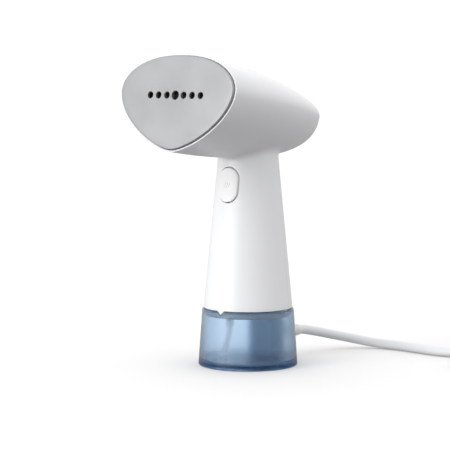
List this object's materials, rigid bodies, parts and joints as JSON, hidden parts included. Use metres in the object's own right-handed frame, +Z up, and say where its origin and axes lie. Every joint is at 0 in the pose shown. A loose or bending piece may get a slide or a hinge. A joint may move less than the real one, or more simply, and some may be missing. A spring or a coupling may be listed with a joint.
{
  "type": "handheld garment steamer",
  "caption": "Handheld garment steamer: wedge-shaped steam head on a tapered round handle, standing on a lift-off translucent water tank, with a rear mains lead",
  "frame": {"origin": "centre of the water tank's flat underside, on the surface that the steamer stands on", "axes": "+Z up along the handle's axis, -Y the way the steam plate faces, +Y the way the mains lead leaves, +X across the head"},
  "size_m": [0.276, 0.235, 0.2196],
  "materials": {
    "white_plastic": "satin-gloss moulded ABS",
    "plate_metal": "fine satin, coated",
    "tank_blue": "translucent blue moulding, smooth outside",
    "clear_plastic": "natural polypropylene",
    "grey_rubber": "matte",
    "silicone": "matte",
    "cast_aluminium": "as cast",
    "steel": "bright zinc or nickel",
    "copper": "enamelled winding wire under tape",
    "black_plastic": "fine texture",
    "circuit_board": "solder resist",
    "lead_sheath": "soft satin PVC"
  },
  "bodies": {
    "tank": {"water_tank": "tank_blue", "tank_lid": "tank_blue", "dip_tube": "clear_plastic", "intake_filter": "grey_rubber"},
    "stopper": {"fill_stopper": "grey_rubber"},
    "handle": {"main_housing": "white_plastic", "rear_cover": "white_plastic", "handle_base": "white_plastic", "base_screw_1": "steel", "base_screw_2": "steel", "base_screw_3": "steel", "tank_coupling": "clear_plastic", "coupling_seal": "silicone", "steam_plate": "plate_metal", "steam_diffuser": "steel", "plate_gasket": "silicone", "boiler_body": "cast_aluminium", "boiler_cover": "cast_aluminium", "heat_shield_ring": "black_plastic", "heating_element": "steel", "boiler_screw_1": "steel", "boiler_screw_2": "steel", "boiler_screw_3": "steel", "boiler_screw_4": "steel", "thermostat": "black_plastic", "thermal_fuse": "silicone", "pump_barrel": "clear_plastic", "pump_coil": "copper", "pump_frame": "steel", "pump_grommet_1": "grey_rubber", "pump_grommet_2": "grey_rubber", "pump_spring": "steel", "inlet_hose": "silicone", "outlet_hose": "silicone", "button_spring": "steel", "switch_carrier": "black_plastic", "microswitch": "black_plastic", "control_board": "circuit_board", "terminal_block": "silicone", "inner_lead": "lead_sheath", "cord_clamp": "silicone", "clamp_screw_1": "steel", "clamp_screw_2": "steel", "heater_lead_1": "black_plastic", "heater_lead_2": "black_plastic", "strain_relief": "lead_sheath", "cord_lead": "lead_sheath", "cord_coil": "lead_sheath", "cord_tail": "lead_sheath", "cord_tie": "black_plastic", "plug_body": "lead_sheath", "plug_pin_1": "steel", "plug_pin_2": "steel"},
    "button": {"steam_button": "white_plastic"},
    "switch_pin": {"switch_plunger": "silicone"},
    "plunger": {"pump_plunger": "steel"}
  },
  "joints": [
    {"name": "handle_lift", "type": "slide", "parent": "tank", "child": "handle", "axis": [0, 0, 1], "range_m": [0, 0.034]},
    {"name": "stopper_pull", "type": "slide", "parent": "tank", "child": "stopper", "axis": [0, 0, 1], "range_m": [0, 0.004]},
    {"name": "button_press", "type": "slide", "parent": "handle", "child": "button", "axis": [0, 1, 0], "range_m": [0, 0.0018], "stiffness_N_per_m": 900, "springref_m": -0.0012, "deforming": ["button_spring"]},
    {"name": "switch_press", "type": "slide", "parent": "handle", "child": "switch_pin", "axis": [0, 1, 0], "range_m": [0, 0.0018]},
    {"name": "pump_stroke", "type": "slide", "parent": "handle", "child": "plunger", "axis": [0, 0, 1], "range_m": [-0.0015, 0.0015], "stiffness_N_per_m": 700, "deforming": ["pump_spring"]}
  ],
  "couplings": [
    {"joint": "switch_press", "follows": "button_press", "ratio": 1}
  ]
}
